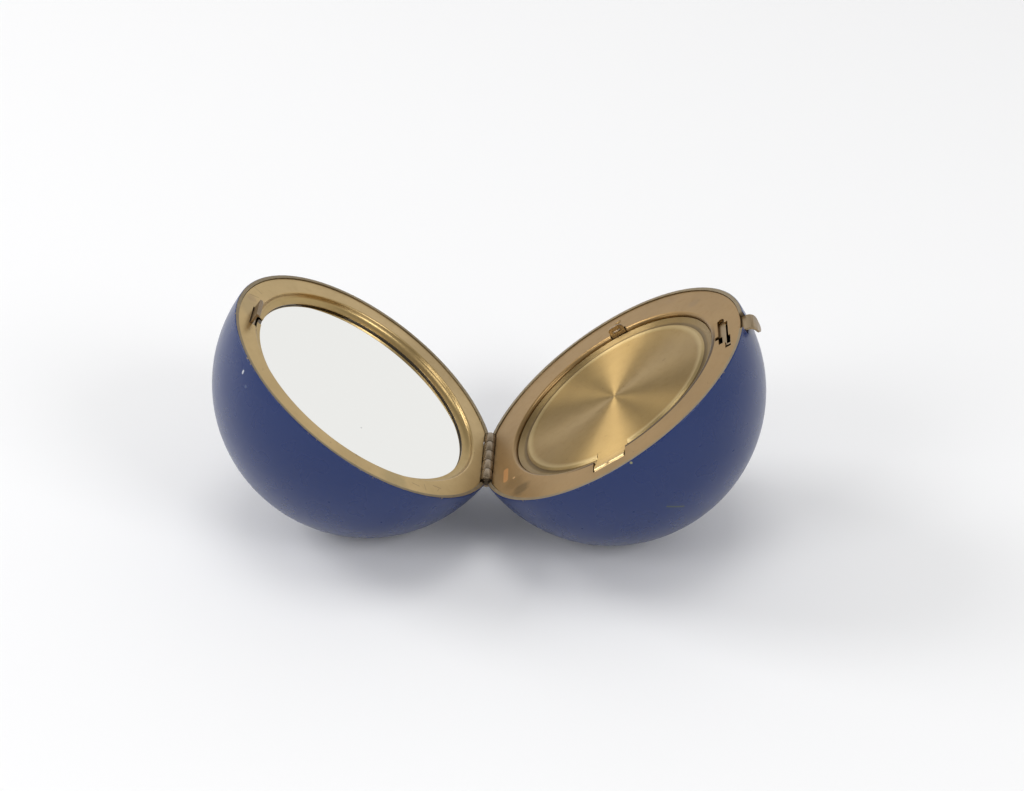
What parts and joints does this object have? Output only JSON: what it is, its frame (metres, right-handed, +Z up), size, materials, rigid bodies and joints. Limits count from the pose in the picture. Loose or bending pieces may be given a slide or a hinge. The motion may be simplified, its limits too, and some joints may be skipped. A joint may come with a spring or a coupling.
{
  "type": "compact mirror",
  "caption": "Ball-shaped powder compact with a mirror, lying open on its two hinged lacquered shells, with a lidded powder well and a push latch.",
  "frame": {"origin": "on the floor, straight below the case hinge, midway between the two shells", "axes": "+X from the hinge towards the powder half, +Y away from the viewer along the hinge pin, +Z up"},
  "size_m": [0.0928, 0.052, 0.0408],
  "materials": {
    "lacquer": "glossy deep blue lacquer over spun brass",
    "brass": "satin, slightly tarnished",
    "lid_brass": "fine turned, bright",
    "dull_brass": "dull, tarnished",
    "steel": "bare wire and spring strip",
    "mirror": "silvered glass",
    "card": "plain grey card"
  },
  "bodies": {
    "powder_half": {"base_shell": "lacquer", "base_plate": "brass", "powder_well": "brass", "base_hinge_leaf": "dull_brass", "hinge_pin": "steel", "lid_hinge_bracket": "dull_brass", "lid_hinge_pin": "steel", "lid_catch_rivet": "brass", "latch_guide": "dull_brass", "latch_spring": "steel", "spring_anchor": "dull_brass"},
    "mirror_half": {"mirror_shell": "lacquer", "mirror_bezel": "brass", "mirror_glass": "mirror", "mirror_card": "card", "mirror_pan": "dull_brass", "mirror_hinge_leaf": "dull_brass", "striker": "brass"},
    "powder_lid": {"powder_lid": "lid_brass"},
    "lid_catch": {"lid_catch": "dull_brass"},
    "latch": {"latch_slide": "lid_brass"}
  },
  "joints": [
    {"name": "case_hinge", "type": "hinge", "parent": "powder_half", "child": "mirror_half", "pos_m": [0, 0, 0.01172], "axis": [0, 1, 0], "range_deg": [0, 110]},
    {"name": "lid_hinge", "type": "hinge", "parent": "powder_half", "child": "powder_lid", "pos_m": [0.02067, -0.0219, 0.02509], "axis": [0.8192, 0, 0.5736], "range_deg": [0, 2.5]},
    {"name": "lid_catch_flex", "type": "hinge", "parent": "powder_half", "child": "lid_catch", "pos_m": [0.02224, 0.0234, 0.02546], "axis": [-0.8192, 0, -0.5736], "range_deg": [0, 4], "stiffness_Nm_per_rad": 0.05, "springref_deg": -1.15},
    {"name": "latch_push", "type": "slide", "parent": "powder_half", "child": "latch", "axis": [-0.8192, 0, -0.5736], "range_m": [0, 0.0008], "stiffness_N_per_m": 400, "springref_m": -0.0008, "deforming": ["latch_spring"]}
  ]
}
